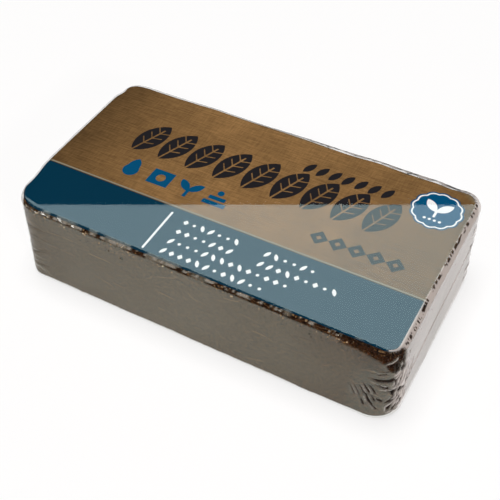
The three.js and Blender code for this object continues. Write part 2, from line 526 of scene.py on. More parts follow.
class CoirBrickStageSettings(bpy.types.PropertyGroup):
    """The camera and the studio."""

    azimuth: angle_property("Azimuth", "Camera's way round the brick", 31.362)
    elevation: angle_property("Elevation", "Camera's angle over the floor", 46.942)
    roll: angle_property("Roll", "Camera's tilt", -3)
    distance: length_property("Distance", "Camera to the middle of the brick", 417.113)
    aim_right: length_property("Aim right", "Camera's shift to its right", 2.277)
    aim_up: length_property("Aim up", "Camera's shift up", -7.532)
    lens: FloatProperty(name="Lens", description="On a 36 mm sensor", unit="CAMERA", default=61.75)
    mirror_row: FloatProperty(
        name="Mirror row",
        description="Pixel row of the picture where the top film starts to mirror the soft box",
        subtype="PIXEL",
        default=204.7,
    )
    box_height: length_property("Soft box height", "Soft box over the floor", 900)
    box_depth: length_property("Soft box depth", "Soft box from its far edge", 550)
    box_glow: FloatProperty(name="Soft box glow", description="Radiance of the soft box", default=3.78)
    box_colour: colour_property("Soft box colour", "Cool daylight", "#d2eef1")
    floor: colour_property("Floor", "Pale floor", "#969493")
    floor_glow: FloatProperty(name="Floor glow", description="Light from the floor itself", default=0.7)
    fill: power_property("Fill light", "Overhead light", 55.5)
    left_glint: power_property("Left glint", "Small light on the left", 0.625)
    right_glint: power_property("Right glint", "Small light on the right", 2.5)


class CoirBrickBlockSettings(bpy.types.PropertyGroup):
    """The pressed block, its crumbs and its fibres."""

    top_edge: length_property("Top edge", "Radius of the worn top edge", 2.8)
    foot_edge: length_property("Foot edge", "Radius of the foot's edge", 1.2)
    crumb: length_property("Crumb", "Size of a crumb of pith", 1.4)
    strand: length_property("Strand", "Width of a strand", 0.5)
    lump_depth: length_property("Lump depth", "Depth of the wall's lumps", 0.25)
    crumble_depth: length_property("Crumble depth", "Depth of what has crumbled off the top edge", 1.2)
    crumbs: IntProperty(name="Crumbs", description="Loose crumbs along the top edge", default=1500)
    fibres: IntProperty(name="Fibres", description="Loose fibres pressed on the block", default=380)
    pit: colour_property("Pit", "Pits where the edge has crumbled", "#1c0d05")
    rust: colour_property("Rust", "Fresh pith where the edge has crumbled", "#56321a")
    dark: colour_property("Dark", "Pits of the pressed faces", "#33200f")
    mid: colour_property("Mid", "Pressed faces", "#5c4026")
    pale: colour_property("Pale", "Strands", "#a67a4c")
    cream: colour_property("Cream", "Palest fibres", "#d9c4a2")


class CoirBrickCardSettings(bpy.types.PropertyGroup):
    """The printed card."""

    spacing: length_property("Spacing", "Spacing of the card's mesh", 0.46)
    fibre: length_property("Fibre", "Spacing of the paper's fibres", 0.8)
    cloud: length_property("Cloud", "Size of the paper's tone patches", 22)
    kraft: colour_property("Kraft", "Plain card", "#9a7549")
    kraft_dark: colour_property("Kraft dark", "Card between fibres", "#785936")
    blue: colour_property("Blue", "Band", "#003349")
    bright_blue: colour_property("Bright blue", "Pictures and seal", "#004f76")
    charcoal: colour_property("Charcoal", "Leaf row", "#211f22")
    white: colour_property("White", "Rules and marks", "#f4f4f2")
    pale_line: colour_property("Pale line", "Rule over the band", "#8f8672")


class CoirBrickFilmSettings(bpy.types.PropertyGroup):
    """The shrink film."""

    mirror: share_property("Mirror", "Share that the film mirrors, face on", 0.05)
    roughness: share_property("Roughness", "Of the gloss", 0.02)
    haze: share_property("Haze", "Share of scatter where the film is milky", 0.9)
    thin_milk: colour_property("Thin milk", "Scatter where the film is hardly milky", "#b4bf95")
    thick_milk: colour_property("Thick milk", "Scatter where the film is milky", "#e8dad2")
    seal_stand: length_property("Seal", "Height of the heat seal's bead", 0.35)


# Stage

# Pixels along each side of the photograph, and the width of the camera's sensor in millimetres
PICTURE_SIZE = 500
SENSOR_WIDTH = 36


def photo_camera(settings):
    """The camera of the photograph, from the fit of a rounded box to the brick's outline: back is
    the way from the brick to the camera, and right and up are turned by the roll."""
    a, e = settings.azimuth, settings.elevation
    back = Vector((math.sin(a) * math.cos(e), -math.cos(a) * math.cos(e), math.sin(e)))
    level = Vector((math.cos(a), math.sin(a), 0))
    steep = back.cross(level)
    c, s = math.cos(settings.roll), math.sin(settings.roll)
    right, up = c * level + s * steep, c * steep - s * level
    data = bpy.data.cameras.new("camera")
    data.lens, data.sensor_width = settings.lens, SENSOR_WIDTH
    data.clip_start, data.clip_end = 0.01, 50
    camera = add_object("camera", data)
    middle = Vector((0, 0, HEIGHT * MM / 2))
    place = middle + settings.distance * back + settings.aim_right * right + settings.aim_up * up
    camera.matrix_world = Matrix.Translation(place) @ Matrix((right, up, back)).transposed().to_4x4()
    bpy.context.scene.camera = camera
    return camera


def seen_on_top(camera, column, row):
    """The point on the film's top face that the camera sees at a pixel of the photograph."""
    reach = camera.data.lens / SENSOR_WIDTH * PICTURE_SIZE
    half = PICTURE_SIZE / 2
    way = camera.matrix_world.to_3x3() @ Vector(((column - half) / reach, (half - row) / reach, -1))
    eye = camera.matrix_world.translation
    return eye + way * ((HEIGHT * MM - eye.z) / way.z)


def add_stage_plane(name, corners, material):
    """A flat four-cornered stage piece, from corners in metres."""
    plane = add_piece(name, np.array(corners) / MM, [(0, 1, 2, 3)], material)
    return plane


def add_soft_box(camera, settings):
    """An overhead soft box. Its far edge is where the top film, as a mirror, shows it to start:
    straight on from the camera's mirror image through two points of that line on the film."""
    eye = camera.matrix_world.translation
    image = Vector((eye.x, eye.y, 2 * HEIGHT * MM - eye.z))
    grow = (settings.box_height - image.z) / (HEIGHT * MM - image.z)
    seen = (seen_on_top(camera, column, settings.mirror_row) for column in (0, PICTURE_SIZE))
    left, right = (image + (point - image) * grow for point in seen)
    along = (right - left).normalized()
    near = along.cross(Vector((0, 0, 1)))
    spread = 0.35
    far_corners = [left - along * spread, right + along * spread]
    near_corners = [corner + near * settings.box_depth for corner in reversed(far_corners)]
    cloth = stage_material("soft box cloth", (0, 0, 0, 1), settings.box_glow, settings.box_colour)
    box = add_stage_plane("soft_box", far_corners + near_corners, cloth)
    box.visible_camera = box.visible_diffuse = box.visible_shadow = False


def add_floor(settings):
    """A wide pale floor just under the brick."""
    half, drop = 12.0, -0.0001
    corners = [(-half, -half, drop), (half, -half, drop), (half, half, drop), (-half, half, drop)]
    add_stage_plane("floor", corners, stage_material("pale floor", settings.floor, settings.floor_glow))


def add_light(name, place, size, power):
    """A square light that faces the brick."""
    data = bpy.data.lights.new(name, "AREA")
    data.size, data.energy = size, power
    light = add_object(name, data)
    turn = Vector(place).to_track_quat("Z", "Y").to_matrix().to_4x4()
    light.matrix_world = Matrix.Translation(place) @ turn
    light.visible_camera = False
    return light


def add_world():
    """A dim room with pale walls: bright up to a little over the horizon and dark over that."""
    world = bpy.data.worlds.new("room")
    world.use_nodes = True
    tree = world.node_tree
    way = add_node(tree, "TexCoord").outputs["Generated"]
    rise = add_node(tree, "SeparateXYZ", {"Vector": way}).outputs["Z"]
    wall_top, ceiling = 0.13, 0.32
    span = {"From Min": wall_top, "From Max": ceiling}
    height = add_node(tree, "MapRange", {"Value": rise, **span}, interpolation_type="SMOOTHSTEP")
    tones = {"A": (0.97, 0.97, 0.97, 1), "B": (0.016, 0.017, 0.02, 1)}
    colour = add_node(tree, "Mix", {"Factor": height, **tones}, data_type="RGBA")
    tree.links.new(colour.outputs["Result"], tree.nodes["Background"].inputs["Color"])
    bpy.context.scene.world = world


class COIRBRICK_OT_stage(bpy.types.Operator):
    """Add the camera, the floor and the lights"""

    bl_idname = "coir_brick.stage"
    bl_label = "Stage"

    def execute(self, context):
        settings = context.scene.coir_brick_stage
        camera = photo_camera(settings)
        add_soft_box(camera, settings)
        add_floor(settings)
        fill = add_light("fill_light", (0, 0, 2.5), 1.2, settings.fill)
        fill.visible_glossy = False
        add_light("glint_left", (-0.9, -0.6, 1.0), 0.12, settings.left_glint)
        add_light("glint_right", (1.0, -0.7, 0.7), 0.12, settings.right_glint)
        add_world()
        context.scene.view_settings.view_transform = "Standard"
        return {"FINISHED"}


# Block

EDGE_STEPS = 8
WALL_ROWS = 50

# How far the block stays inside the brick's outer size, and over the floor
BLOCK_INSET = 0.58
BLOCK_FOOT = 0.25

# Rows of the block's top and underside, as shares of the way out to its edge
FACE_SHARES = (0.02, 0.2, 0.4, 0.6, 0.75, 0.86, 0.93, 0.97, 0.985)


def worn_edges(bottom, top, foot_edge, top_edge):
    """Insets and heights from the underside to the top: a quarter circle at each level edge, and
    even rows between them."""
    quarter = np.linspace(0, math.pi / 2, EDGE_STEPS + 1)
    wall = np.linspace(bottom + foot_edge, top - top_edge, WALL_ROWS + 2)[1:-1]
    insets = [foot_edge * (1 - np.sin(quarter)), wall * 0, top_edge * (1 - np.sin(quarter[::-1]))]
    heights = [
        bottom + foot_edge * (1 - np.cos(quarter)),
        wall,
        top - top_edge * (1 - np.cos(quarter[::-1])),
    ]
    return np.concatenate(insets)[:, None], np.concatenate(heights)[:, None]


def block_surface(settings):
    """The block as rows x stations points, and how worn each is: a rounded box, less small lumps
    on its walls, bites out of its top edge, and what has crumbled off the loose corner."""
    arc_steps, near = (20, 20, 24, 30), 24
    spacings = [(1.2, 1.4, 1.2), (1.2, 1.4, 1.2), (1.0, 1.0, 0.7), (0.7, 1.1, 1.2)]
    ring = stations(arc_steps, near, spacings)
    foot_edge, top_edge = settings.foot_edge / MM, settings.top_edge / MM
    inset, height = worn_edges(BLOCK_FOOT, BLOCK_HIGH.z, foot_edge, top_edge)
    points, out = ring_points(ring, BLOCK_INSET + inset, height)
    along = along_from(ring, FRONT_RIGHT)
    loose = loose_corner(along, height)
    corner = 0.8 * hill(along, -26, -14, 14, 22)
    worn = smooth(height, BLOCK_HIGH.z - 4.5, BLOCK_HIGH.z - 1.2) + 0 * loose
    lumps = 0.5 + 0.5 * rough_relief(points, 6, 4, 11)
    bites = np.clip(rough_relief(points, 4.5, 4, 23) + 0.1, 0, 1.3)
    grain = 0.5 + 0.5 * relief(points, 1.7, 31)
    depth = settings.lump_depth / MM * (lumps + 0.6 * grain)
    depth += settings.crumble_depth / MM * worn * (bites + 0.35 * grain)
    depth += loose * (0.9 + 0.8 * bites + 0.5 * grain) + 0.5 * corner
    depth -= np.minimum(outline_bumps(points), 0.1)
    points = flat_ends(points - out * depth[..., None], FACE_SHARES)
    dent = 0.12 * (1 + rough_relief(points, 5, 3, 7))
    points[..., 2] -= np.where(points[..., 2] > BLOCK_HIGH.z - 0.01, dent, 0)
    points[..., 2] += np.where(points[..., 2] < BLOCK_FOOT + 0.01, dent, 0)
    ends = len(FACE_SHARES)
    return points, np.pad(np.clip(np.maximum(worn + loose, corner), 0, 1), ((ends, ends), (0, 0)), "edge")


def surface_normals(points):
    """The way out at each point of rows x stations, from the differences to its neighbours."""
    round_step = np.roll(points, -1, 1) - np.roll(points, 1, 1)
    return unit(np.cross(round_step, np.gradient(points, axis=0)))


def on_surface(grid, row, column):
    """Values of a rows x stations grid between its points, by sharing the four around each."""
    low_row = np.clip(np.floor(row).astype(int), 0, len(grid) - 2)
    low_column = np.floor(column).astype(int)
    v, u = (row - low_row)[..., None], (column - low_column)[..., None]
    here, ahead = low_column % grid.shape[1], (low_column + 1) % grid.shape[1]
    lower = grid[low_row, here] * (1 - u) + grid[low_row, ahead] * u
    upper = grid[low_row + 1, here] * (1 - u) + grid[low_row + 1, ahead] * u
    return lower * (1 - v) + upper * v


def crumb_shape():
    """The corners and faces of a regular icosahedron about 1.2 in radius."""
    golden = (1 + math.sqrt(5)) / 2
    shape = np.array([(0, a, b * golden) for a in (-1, 1) for b in (-1, 1)])
    shape = np.concatenate([shape, np.roll(shape, 1, 1), np.roll(shape, 2, 1)]) / golden
    gap = np.linalg.norm(shape[:, None] - shape, axis=-1)
    touching = (gap > 0) & (gap < 1.3)
    faces = []
    for a, b, c in ((a, b, c) for a in range(12) for b in range(a + 1, 12) for c in range(b + 1, 12)):
        if touching[a, b] and touching[b, c] and touching[a, c]:
            turns_out = np.dot(np.cross(shape[b] - shape[a], shape[c] - shape[a]), shape[a]) > 0
            faces.append((a, b, c) if turns_out else (a, c, b))
    return shape, np.array(faces)


def add_crumbs(settings, points, material):
    """Crumbs on the worn top edge: icosahedra, each stretched and roughened at random, and darker
    the lower they lie."""
    draw = np.random.default_rng(5)
    count = settings.crumbs
    rows, columns = points.shape[:2]
    highest = rows - len(FACE_SHARES) - 3.5
    lowest = highest - 11
    row = draw.uniform(lowest, highest, count)
    column = draw.uniform(0, columns, count)
    centre = on_surface(points, row, column)[:, None]
    normal = on_surface(surface_normals(points), row, column)[:, None]
    shape, faces = crumb_shape()
    size = draw.uniform(0.2, 0.62, (count, 1, 1)) * draw.uniform(0.55, 1.2, (count, 1, 3))
    rough = 1 + 0.25 * draw.uniform(-1, 1, (count, len(shape), 1))
    crumbs = centre + shape * size * rough - 0.3 * normal * size.mean(-1, keepdims=True)
    first = np.arange(count)[:, None, None] * len(shape)
    tint = draw.uniform(0, 1, count) ** 1.3 * (0.35 + 0.65 * smooth(row, lowest + 1, lowest + 7))
    return add_piece(
        "edge_crumbs",
        crumbs.reshape(-1, 3),
        (faces + first).reshape(-1, 3).tolist(),
        material,
        {"tint": tint.repeat(len(shape))},
    )


def add_fibres(settings, points, material):
    """Fibres on the block: each is a three-sided tube along a bending line that keeps to the
    block's face, in steps of rows and stations, and thins to both ends."""
    draw = np.random.default_rng(9)
    count, steps, sides = settings.fibres, 9, 3
    rows, columns = points.shape[:2]
    step = draw.uniform(4, 18, (count, 1)) / (steps - 1)
    bend = draw.uniform(-1.2, 1.2, (count, 1)) * np.linspace(0, 1, steps)
    heading = draw.uniform(0, 2 * math.pi, (count, 1)) + bend
    lowest, highest = 11, rows - 14
    down = (highest - lowest - 1) * draw.uniform(0, 1, (count, 1)) ** 1.8
    row = highest + 2 - down + np.cumsum(step * np.sin(heading) * 0.45, 1)
    column = draw.uniform(0, columns, (count, 1)) + np.cumsum(step * np.cos(heading), 1)
    row = np.clip(row, lowest, highest)
    normal = on_surface(surface_normals(points), row, column)
    line = on_surface(points, row, column) + 0.1 * normal
    side = np.cross(unit(np.gradient(line, axis=1)), normal)
    around = np.arange(sides) * 2 * math.pi / sides
    thin = np.sin(np.linspace(0.15, math.pi - 0.15, steps)) ** 0.5
    radius = draw.uniform(0.06, 0.14, (count, 1, 1, 1)) * thin[:, None, None]
    spoke = np.cos(around)[:, None] * normal[:, :, None] + np.sin(around)[:, None] * side[:, :, None]
    tube = line[:, :, None] + radius * spoke
    low = np.arange(steps - 1)[:, None] * sides
    here, ahead = low + np.arange(sides), low + (np.arange(sides) + 1) % sides
    quads = np.stack([here, ahead, ahead + sides, here + sides], -1).reshape(-1, 4)
    last = (steps - 1) * sides
    ends = np.array([(2, 1, 0), (last, last + 1, last + 2)])
    first = np.arange(count)[:, None, None] * steps * sides
    faces = [*(quads + first).reshape(-1, 4).tolist(), *(ends + first).reshape(-1, 3).tolist()]
    tint = draw.uniform(0.2, 0.75, count)
    return add_piece(
        "coir_fibres", tube.reshape(-1, 3), faces, material, {"tint": tint.repeat(steps * sides)}
    )


class COIRBRICK_OT_block(bpy.types.Operator):
    """Add the pressed block of coir, with its loose crumbs and fibres"""

    bl_idname = "coir_brick.block"
    bl_label = "Coir block"

    def execute(self, context):
        settings = context.scene.coir_brick_block
        points, worn = block_surface(settings)
        block = add_closed_piece("coir_block_pressed", points, pressed_coir(settings), {"worn": worn})
        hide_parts("coir_block")
        loose = loose_coir(settings)
        for piece in (block, add_crumbs(settings, points, loose), add_fibres(settings, points, loose)):
            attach(piece, "root")
        return {"FINISHED"}


# Card


def box_distance(x, y, centre, half):
    """Distance to a rectangle, less than 0 inside it, by the further of its two pairs of sides."""
    return np.maximum(np.abs(x - centre[0]) - half[0], np.abs(y - centre[1]) - half[1])


def disc_distance(x, y, centre, radius):
    """Distance to a disc, less than 0 inside it."""
    return np.hypot(x - centre[0], y - centre[1]) - radius


def leaning(x, y, centre, lean):
    """Places as a shape that leans to the right by an angle has them: across it and along it."""
    u, v = x - centre[0], y - centre[1]
    return u * math.cos(lean) - v * math.sin(lean), u * math.sin(lean) + v * math.cos(lean)


def leaf_distance(x, y, centre, length, width, lean=0.0):
    """Distance to a pointed leaf, the overlap of two discs, which leans to the right by an angle."""
    across, along = leaning(x, y, centre, lean)
    radius = (length**2 / width + width) / 4
    offset = radius - width / 2
    return np.maximum(np.hypot(across - offset, along), np.hypot(across + offset, along)) - radius


def diamond_distance(x, y, centre, half):
    """Distance to a diamond with corners that far from its centre."""
    slope = math.hypot(1 / half[0], 1 / half[1])
    return (np.abs(x - centre[0]) / half[0] + np.abs(y - centre[1]) / half[1] - 1) / slope


def outlined(distance, width):
    """Distance to a line of that width just inside a shape's edge."""
    return np.abs(distance + width / 2) - width / 2


def union(*distances):
    """Distance to shapes laid together."""
    return np.minimum.reduce(distances)


def without(distance, *others):
    """Distance to a shape with others cut out of it."""
    return np.maximum.reduce([distance, *(-other for other in others)])


def leaf_row(x, y):
    """The big row: nine solid leaves that lean right, each with a bare midrib and side veins."""
    pitch, middle, length, width, lean = 15.6, 17.0, 25.0, 13.0, 0.38
    rib_middle, rib_half = (0, -2), (0.45, 10.5)
    vein_half_width, vein_slope, vein_reach = 0.36, 0.7, 4.4
    shapes = []
    for i in range(-4, 5):
        centre = (i * pitch, middle)
        across, along = leaning(x, y, centre, lean)
        cuts = [box_distance(across, along, rib_middle, rib_half)]
        for level in (-5.0, 0.0, 5.0):
            slant = np.abs(along - level - vein_slope * np.abs(across)) - vein_half_width
            cuts.append(np.maximum(slant, np.abs(across) - vein_reach))
        shapes.append(without(leaf_distance(x, y, centre, length, width, lean), *cuts))
    return union(*shapes)


def small_leaves(x, y):
    """Seven small slanting leaves in a row, near the back edge."""
    start, pitch, level, length, width, lean = 18.5, 6.7, 32.5, 8.6, 3.8, 0.5
    leaves = [leaf_distance(x, y, (start + i * pitch, level), length, width, lean) for i in range(7)]
    return union(*leaves)


def small_diamonds(x, y):
    """Five diamonds with a bare middle, over the band."""
    start, pitch, level = 42.5, 9.1, -7
    half, middle_half = (4.5, 4.3), (1.5, 1.4)
    shapes = []
    for i in range(5):
        centre = (start + i * pitch, level)
        middle = diamond_distance(x, y, centre, middle_half)
        shapes.append(without(diamond_distance(x, y, centre, half), middle))
    return union(*shapes)


def sprout(x, y, centre, leaf_place, lean, stem_half):
    """A plain sprout: two leaves that lean away from each other over a stem, which ends at the
    centre."""
    across, up = leaf_place
    length, width = 9, 4.2
    leaves = [
        leaf_distance(x, y, (centre[0] + side * across, centre[1] + up), length, width, side * lean)
        for side in (-1, 1)
    ]
    stem = box_distance(x, y, (centre[0], centre[1] - stem_half[1]), stem_half)
    return union(*leaves, stem)


def pictures(x, y):
    """Four plain pictures in a row: a drop, a sun on a tile, a sprout and a heap of soil."""
    level = -6.0
    drop_x, tile_x, sprout_x, heap_x = -58.5, -42, -25.8, -10.5
    drop = union(
        disc_distance(x, y, (drop_x, level - 1.4), 4.1),
        leaf_distance(x, y, (drop_x, level + 1.2), 11.5, 6.4),
    )
    tile = box_distance(x, y, (tile_x, level), (5.8, 5.0))
    sun = disc_distance(x, y, (tile_x, level), 2.4)
    plant = sprout(x, y, (sprout_x, level), (3.0, 1.2), 0.8, (0.9, 3))
    heap = union(
        box_distance(x, y, (heap_x, level - 3.8), (6.0, 1.3)),
        box_distance(x, y, (heap_x, level - 0.2), (4.4, 1.2)),
        disc_distance(x, y, (heap_x, level + 3.6), 1.7),
    )
    return union(drop, without(tile, sun), plant, heap)


# The printed seal near the card's back right corner
SEAL_CENTRE, SEAL_RADIUS = (82.6, 32.6), 12.3


def seal_edge(x, y, radius):
    """Distance to a disc with round scallops on its edge."""
    scallops, depth = 12, 0.07
    u, v = x - SEAL_CENTRE[0], y - SEAL_CENTRE[1]
    wave = np.abs(np.cos(scallops / 2 * np.arctan2(v, u)))
    return np.hypot(u, v) - radius * (1 - depth * (1 - wave))


def seal_marks(x, y):
    """The seal's white rim, and in its middle a two-leaved sprout over a row of dots."""
    cx, cy = SEAL_CENTRE
    rim = outlined(seal_edge(x, y, SEAL_RADIUS - 0.5), 0.8)
    pitch, drop, radius = 2.4, 6.6, 0.75
    dots = [disc_distance(x, y, (cx + i * pitch, cy - drop), radius) for i in (-1.5, -0.5, 0.5, 1.5)]
    return union(rim, sprout(x, y, SEAL_CENTRE, (3.2, 2.2), 0.75, (0.6, 2.4)), *dots)


# The blue band's back edge along Y
BAND_TOP = -20.0


def small_marks(x, y):
    """Rows of small leaves, diamonds and dots on the band, in an order from a repeatable scatter."""
    rows = (
        (-15.0, 13.5, -26.2),
        (-15.0, 13.5, -32.6),
        (-15.0, 44.5, -39.0),
        (-15.0, 35.0, -45.4),
        (27.0, 52.5, -26.4),
        (27.0, 64.0, -32.8),
    )
    pitch = 4.4
    shapes = []
    for number, (start, end, level) in enumerate(rows):
        for place in range(int((end - start) / pitch) + 1):
            centre = (start + place * pitch, level)
            kind = int(lattice_value(np.array([number, place, 5]), 3) * 2 + 2)
            if kind == 0:
                shapes.append(diamond_distance(x, y, centre, (1.4, 1.6)))
            elif kind == 1:
                shapes.append(disc_distance(x, y, centre, 0.8))
            else:
                shapes.append(leaf_distance(x, y, centre, 4.3, 1.8, 0.5 if kind == 2 else -0.5))
    return union(*shapes)


def card_prints(x, y):
    """The distance to each ink's edge at each point of the card, less than 0 where it prints."""
    divider = box_distance(x, y, (-24.2, -35.6), (0.55, 12.6))
    thin_line = box_distance(x, y, (0, BAND_TOP + 0.15), (LENGTH, 0.25))
    return {
        "pale_line": box_distance(x, y, (0, BAND_TOP + 0.8), (LENGTH, 0.45)),
        "band_ink": y - BAND_TOP,
        "picture_ink": union(pictures(x, y), seal_edge(x, y, SEAL_RADIUS + 0.3)),
        "charcoal_ink": union(leaf_row(x, y), small_leaves(x, y), small_diamonds(x, y), thin_line),
        "white_ink": union(divider, small_marks(x, y), seal_marks(x, y)),
    }


def card_points(settings):
    """The card: rows from the front edge to the back edge, each spread between the outline's ends
    at that row, where round corners draw the ends in."""
    inset = LENGTH / 2 - CARD_HIGH.x
    rows = int((CARD_HIGH.y - CARD_LOW.y) * MM / settings.spacing)
    columns = int((CARD_HIGH.x - CARD_LOW.x) * MM / settings.spacing)
    y = np.linspace(CARD_LOW.y, CARD_HIGH.y, rows + 1)
    ends = []
    for way, front, back in ((-1, FRONT_LEFT, BACK_LEFT), (1, FRONT_RIGHT, BACK_RIGHT)):
        reach = np.full(rows + 1, CARD_HIGH.x)
        for k, side in ((front, -1), (back, 1)):
            radius = CORNER_TOP[k] - inset
            into = np.clip(side * y - (CARD_HIGH.y - radius), 0, radius)
            reach = reach - (radius - np.sqrt(radius**2 - into**2))
        ends.append(way * reach)
    share = np.linspace(0, 1, columns + 1)
    x = ends[0][:, None] + (ends[1] - ends[0])[:, None] * share
    return x, y[:, None] + x * 0


def bent_outline(x, y):
    """The card's points moved with the outline's bumps, along X near its ends and else along Y, and
    moved out on its left and the left part of its back, where the film shows no gap beside it."""
    bumps = outline_bumps(np.stack([x, y, x * 0 + HEIGHT], -1))
    endwise = smooth(np.abs(x), 80, 92)
    x_moved = x + np.sign(x) * bumps * endwise - 1.3 * smooth(-x, 75, 97)
    to_back = 1.1 * smooth(y, 35, 50) * (1 - smooth(x, -20, 35))
    return x_moved, y + np.sign(y) * bumps * (1 - endwise) + to_back


def card_top(x, y):
    """Height of the card's top: flat, and drawn down a little by the film at its edges."""
    front = smooth(CARD_LOW.y + 2.2 - y, 0, 2.6)
    right = smooth(x - CARD_HIGH.x + 1.8, 0, 2.4)
    far = np.maximum(smooth(-x + CARD_LOW.x + 1.6, 0, 1.6), smooth(y - CARD_HIGH.y + 1.6, 0, 1.6))
    droop = 0.75 * front + 0.4 * np.maximum(right, far) * (1 - front)
    return CARD_HIGH.z + 0.36 - droop - 0.04 * (1 + flat_relief(x, y, 30, 5))


def add_card(settings, material):
    """The card as a closed sheet: the top grid, a rim of quads and one face underneath."""
    x, y = card_points(settings)
    rows, columns = x.shape
    top = np.stack([*bent_outline(x, y), card_top(x, y)], -1)
    index = np.arange(rows * columns).reshape(rows, columns)
    quads = np.stack([index[:-1, :-1], index[:-1, 1:], index[1:, 1:], index[1:, :-1]], -1)
    loop = np.concatenate([index[0, :-1], index[:-1, -1], index[-1, :0:-1], index[:0:-1, 0]])
    lower = top.reshape(-1, 3)[loop]
    lower[:, 2] = CARD_LOW.z
    below = rows * columns + np.arange(len(loop))
    rim = np.stack([np.roll(loop, -1), loop, below, np.roll(below, -1)], -1)
    faces = [*quads.reshape(-1, 4).tolist(), *rim.tolist(), below[::-1].tolist()]
    unprinted = np.full(len(loop), 5.0)
    inks = {ink: np.concatenate([edge.ravel(), unprinted]) for ink, edge in card_prints(x, y).items()}
    closed = np.concatenate([top.reshape(-1, 3), lower])
    return add_piece("label_card_printed", closed, faces, material, inks)


class COIRBRICK_OT_card(bpy.types.Operator):
    """Add the printed card"""

    bl_idname = "coir_brick.card"
    bl_label = "Label card"

    def execute(self, context):
        settings = context.scene.coir_brick_card
        card = add_card(settings, printed_kraft(settings))
        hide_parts("label_card")
        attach(card, "root")
        return {"FINISHED"}


# Film

# How far the film's walls stay inside the brick's outer size, its lowest and highest level, and
# the radius of its foot
FILM_INSET = 0.22
FILM_BOTTOM = 0.06
FILM_TOP = HEIGHT - FILM_BOTTOM
FILM_FOOT = 1.0
FOOT_STEPS = 4
FILM_WALL_ROWS = 104
TURN_STEPS = 13

# Rows of the film's top and underside, as shares of the way out to the turn and the foot
FILM_FACE_SHARES = (0.05, 0.4, 0.75, 0.93, 0.98)

# The film's turn from wall to top on the front, right, back and left, at the left end of the brick
# and at its right end: how far in it reaches and how steep it hangs
TURN_REACH = np.array([(3.1, 3.0, 1.1, 0.9), (2.6, 3.0, 3.2, 0.9)])
TURN_SLOPE = np.radians([(30, 33, 40, 48), (53, 33, 14, 48)])
TURN_ROUNDING = 0.3

# How milky the film is on the front, right, back and left walls, and then at the foot of the front
# right corner, on a ridge and deep in a crease. The right end's larger share also stands in for the
# sheen that light from the right gives it, and a ridge's milk is partly a painted highlight.
WALL_MILK_AND_SHEEN = np.array([0.178, 0.5, 0.28, 0.2])
CORNER_MILK, RIDGE_MILK_AND_HIGHLIGHT, CREASE_MILK = 0.16, 0.45, 0.75

# Folds of the front right corner, listed one by one. Each has its start (distance along the wall
# from the middle of the corner, and height), its direction in degrees, length, width and height,
# which is less than 0 where the film is drawn in to a dark crease, and its bend where it isn't
# straight.
CORNER_FOLDS = (
    (2.5, 30.5, 182, 17, 1.0, -1.1),
    (-1.5, 24.3, 153, 10, 0.85, -1.1, 0.006),
    (-10.8, 19.3, 124, 8, 0.5, -1.2),
    (-7.6, 20.0, 131, 8, 0.5, -1.1),
    (-9.9, 12.8, 116, 7, 0.5, -1.2),
    (-5.3, 8.2, 134, 7, 0.5, -1.1),
    (-7.9, 11.0, 118, 6, 0.5, -1.2),
    (-11.6, 9.4, 117, 5, 0.5, -1.0),
    (-3.4, 14.6, 150, 4, 0.7, -1.2),
    (-14.5, 15.0, 120, 9, 0.4, -0.5),
    (-16.5, 14.0, 117, 9, 0.4, -0.4),
    (-12.8, 17.0, 117, 9, 0.4, -0.55),
    (-7.0, 14.5, 125, 5, 0.5, -0.9),
    (1.8, 14.3, 193, 4.5, 0.7, -1.0),
    (1.5, 14.0, 33, 6.5, 0.36, -0.8),
    (4.0, 21.5, 170, 8, 1.3, -0.55),
    (-0.5, 8.3, 0, 7, 1.7, -0.6),
    (7.2, 14.0, 265, 8, 0.4, -0.7),
    (-4.0, 35.5, 194, 6.5, 0.4, -0.9),
    (-3.0, 37.6, 186, 6, 0.35, -0.7),
    (10.5, 23.5, 54, 8, 0.42, -0.6),
    (12.5, 36.0, 63, 7, 0.45, -0.8),
    (8.5, 28.0, 70, 8, 0.42, -0.6),
    (8.0, 14.0, 70, 9, 0.42, -0.6),
    (11.0, 20.0, 70, 12, 0.38, -0.5),
    (14.0, 16.0, 72, 12, 0.38, -0.4),
    (17.5, 19.0, 74, 12, 0.4, -0.3),
    (2.5, 46.6, 209, 13.5, 0.55, 1.0),
    (-6.0, 36.0, 176, 9, 0.4, 0.35),
    (-5.0, 33.8, 184, 9, 0.36, 0.3),
    (-2.5, 26.4, 167, 11, 0.4, 0.85),
    (1.0, 22.6, 169, 9, 0.4, 0.75),
    (-12.0, 18.5, 119, 7, 0.32, 0.55),
    (-9.3, 19.5, 126, 7, 0.32, 0.6),
    (-11.0, 12.5, 115, 6, 0.32, 0.55),
    (-8.6, 13.3, 118, 6, 0.32, 0.5),
    (-6.4, 8.2, 131, 5, 0.32, 0.5),
    (-15.6, 15.0, 118, 8, 0.32, 0.35),
    (-17.8, 14.0, 116, 7, 0.32, 0.3),
    (-1.3, 10.6, 36, 10.5, 0.42, 1.0),
    (-1.5, 10.5, 276, 5.5, 0.38, 0.7),
    (-0.5, 4.8, 2, 6, 0.38, 0.6),
    (0.5, 24.0, 0, 9, 0.38, 0.7),
    (5.0, 26.0, 48, 8, 0.38, 0.6),
    (9.4, 22.5, 58, 9, 0.36, 0.7),
    (7.4, 27.0, 70, 8, 0.36, 0.7),
    (11.4, 35.0, 67, 8, 0.36, 0.7),
    (7.0, 13.0, 71, 10, 0.36, 0.6),
    (9.9, 19.0, 72, 13, 0.36, 0.6),
    (13.0, 15.0, 72, 12, 0.36, 0.5),
    (16.2, 18.0, 74, 12, 0.36, 0.4),
    (3.6, 41.0, 10, 5, 0.8, 1.1),
)


